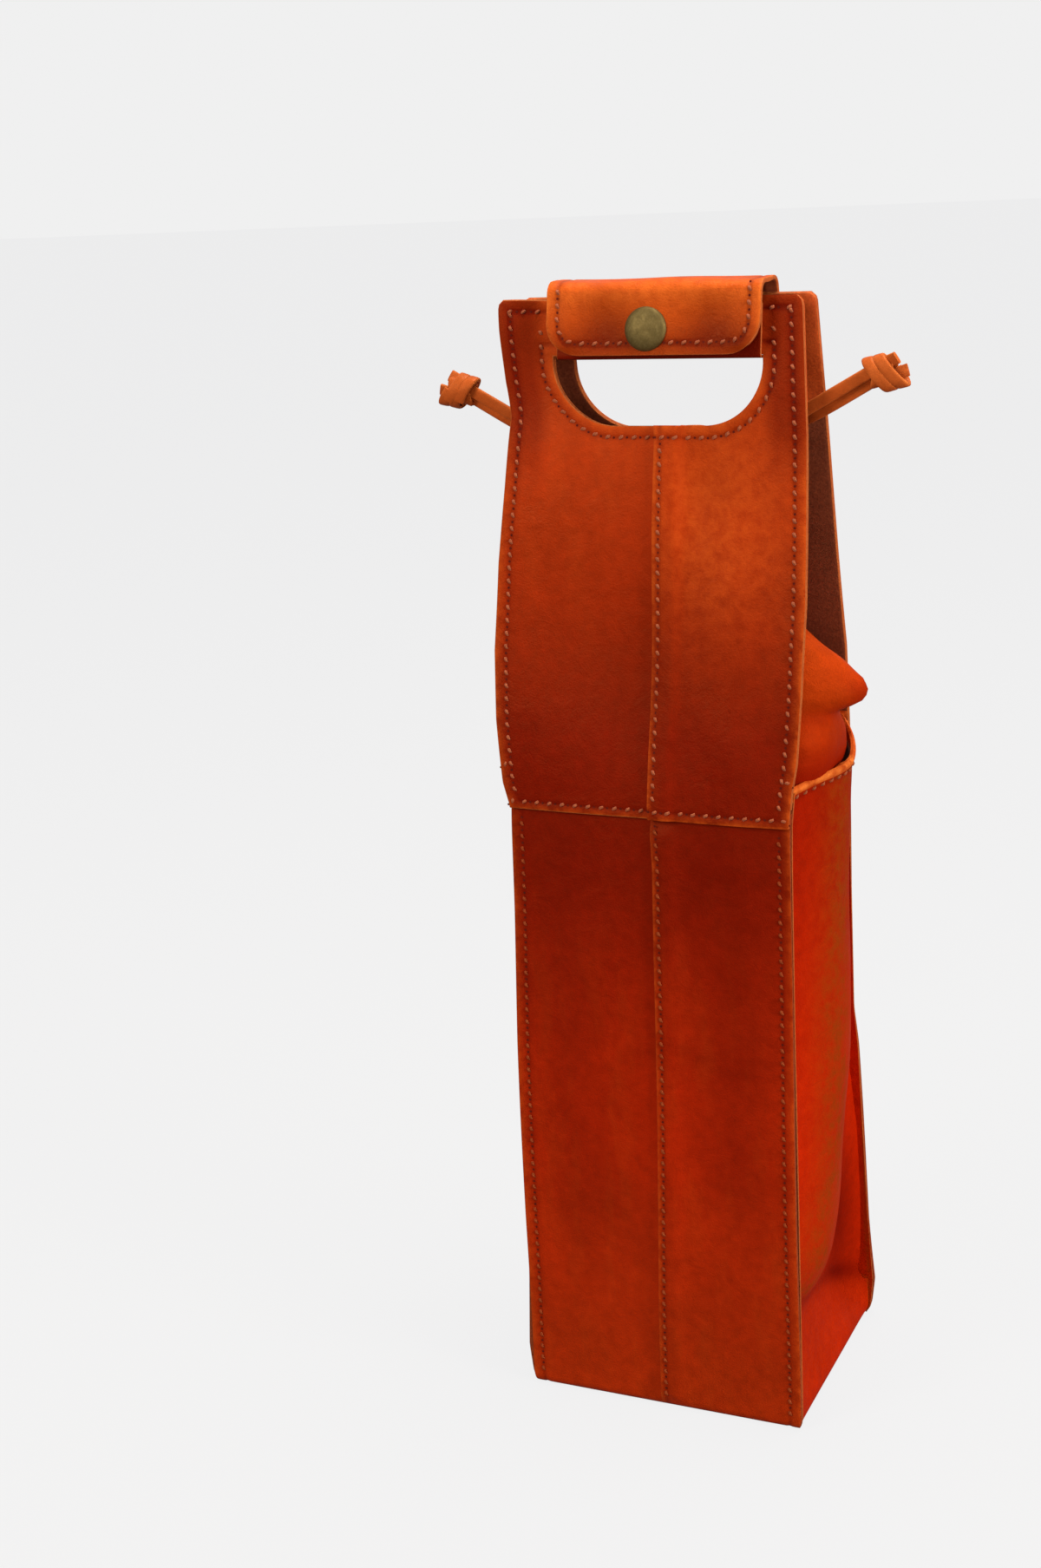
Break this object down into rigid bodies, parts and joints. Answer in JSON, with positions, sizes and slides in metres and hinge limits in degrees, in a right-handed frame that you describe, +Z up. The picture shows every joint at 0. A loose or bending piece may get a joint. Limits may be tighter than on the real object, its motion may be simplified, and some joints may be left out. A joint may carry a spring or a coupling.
{
  "type": "bottle carrier",
  "caption": "Soft leather carrier for one bottle: box body with side gussets, drawstring collar, and two leaning panels with a hand slot closed by a snap wrap.",
  "frame": {"origin": "centre of the base, on the surface that it stands on", "axes": "+X along the front panel to its right end seen from the front, -Y out of the front panel with the snap, +Z up"},
  "size_m": [0.1686, 0.0888, 0.3833],
  "materials": {
    "shell_leather": "smooth, softly glossy",
    "collar_leather": "smooth, soft, softly glossy",
    "suede_lining": "matt suede",
    "lace_leather": "smooth, cut edges",
    "antique_brass": "antiqued, satin"
  },
  "bodies": {
    "body": {"base_panel": "shell_leather", "front_lower_left": "shell_leather", "front_lower_right": "shell_leather", "back_lower_left": "shell_leather", "back_lower_right": "shell_leather", "gusset_left": "shell_leather", "gusset_right": "shell_leather", "collar": "collar_leather"},
    "front_panel": {"front_upper_left": "shell_leather", "front_upper_right": "shell_leather", "front_lining": "suede_lining", "stud_patch": "shell_leather", "snap_stud": "antique_brass", "snap_post": "antique_brass"},
    "back_panel": {"back_upper_left": "shell_leather", "back_upper_right": "shell_leather", "back_lining": "suede_lining", "wrap_back": "shell_leather"},
    "wrap_top": {"wrap_top": "shell_leather"},
    "wrap_flap": {"wrap_flap": "shell_leather", "flap_lining": "suede_lining", "snap_cap": "antique_brass", "snap_socket": "antique_brass"},
    "right_lace": {"lace_right": "lace_leather"},
    "left_lace": {"lace_left": "lace_leather"}
  },
  "joints": [
    {"name": "front_spread", "type": "hinge", "parent": "body", "child": "front_panel", "pos_m": [0, -0.034, 0.213], "axis": [1, 0, 0], "range_deg": [0, 5.5]},
    {"name": "back_spread", "type": "hinge", "parent": "body", "child": "back_panel", "pos_m": [0, 0.034, 0.213], "axis": [-1, 0, 0], "range_deg": [0, 5.5]},
    {"name": "wrap_lift", "type": "hinge", "parent": "back_panel", "child": "wrap_top", "pos_m": [0.0015, 0.00426, 0.38282], "axis": [-1, 0, 0], "range_deg": [0, 60.5]},
    {"name": "flap_lift", "type": "hinge", "parent": "wrap_top", "child": "wrap_flap", "pos_m": [0.0015, -0.00792, 0.38282], "axis": [-1, 0, 0], "range_deg": [0, 115.5]},
    {"name": "right_lace_pull", "type": "slide", "parent": "body", "child": "right_lace", "axis": [1, 0, 0], "range_m": [0, 0.012]},
    {"name": "left_lace_pull", "type": "slide", "parent": "body", "child": "left_lace", "axis": [-1, 0, 0], "range_m": [0, 0.012]}
  ],
  "couplings": [
    {"joint": "back_spread", "follows": "front_spread", "ratio": 1},
    {"joint": "wrap_lift", "follows": "front_spread", "ratio": 11},
    {"joint": "flap_lift", "follows": "front_spread", "ratio": 21}
  ]
}
